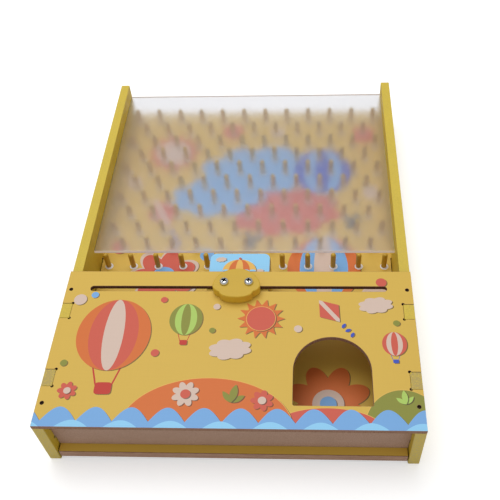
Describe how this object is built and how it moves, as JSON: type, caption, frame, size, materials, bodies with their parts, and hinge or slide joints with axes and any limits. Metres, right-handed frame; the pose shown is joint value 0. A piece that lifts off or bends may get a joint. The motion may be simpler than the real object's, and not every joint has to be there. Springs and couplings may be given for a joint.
{
  "type": "bagatelle board game",
  "caption": "Wooden marble drop board: rows of pegs under a frosted sheet, a printed front panel with an arched ball opening, and a catcher that slides along a slot.",
  "frame": {"origin": "middle of the plane that the board lies on, under the rear edges of its side walls", "axes": "+X to the right with the foot end nearest, +Y to the open top end, +Z out of the front panel"},
  "size_m": [0.3, 0.42, 0.0714],
  "materials": {
    "painted_wood": "matt yellow paint",
    "printed_board": "printed face, bare brown edges",
    "frosted_sheet": "frosted, translucent",
    "bright_screw": "polished",
    "zinc_steel": "zinc"
  },
  "bodies": {
    "case": {"side_wall_left": "painted_wood", "side_wall_right": "painted_wood", "back_board": "printed_board", "bottom_board": "painted_wood", "front_panel": "printed_board", "cover_sheet": "frosted_sheet", "peg_row_01": "painted_wood", "peg_row_02": "painted_wood", "peg_row_03": "painted_wood", "peg_row_04": "painted_wood", "peg_row_05": "painted_wood", "peg_row_06": "painted_wood", "peg_row_07": "painted_wood", "peg_row_08": "painted_wood", "peg_row_09": "painted_wood", "peg_row_10": "painted_wood", "peg_row_11": "painted_wood", "panel_nails": "zinc_steel"},
    "catcher": {"catcher_plate": "printed_board", "knob": "painted_wood", "knob_screws": "bright_screw", "slide_sleeves": "zinc_steel", "knob_washers": "zinc_steel", "knob_nuts": "zinc_steel", "cup_cheek_left": "painted_wood", "cup_cheek_right": "painted_wood", "cup_floor": "painted_wood"}
  },
  "joints": [
    {"name": "catcher_slide", "type": "slide", "parent": "case", "child": "catcher", "axis": [1, 0, 0], "range_m": [-0.1135, 0.1135]}
  ]
}
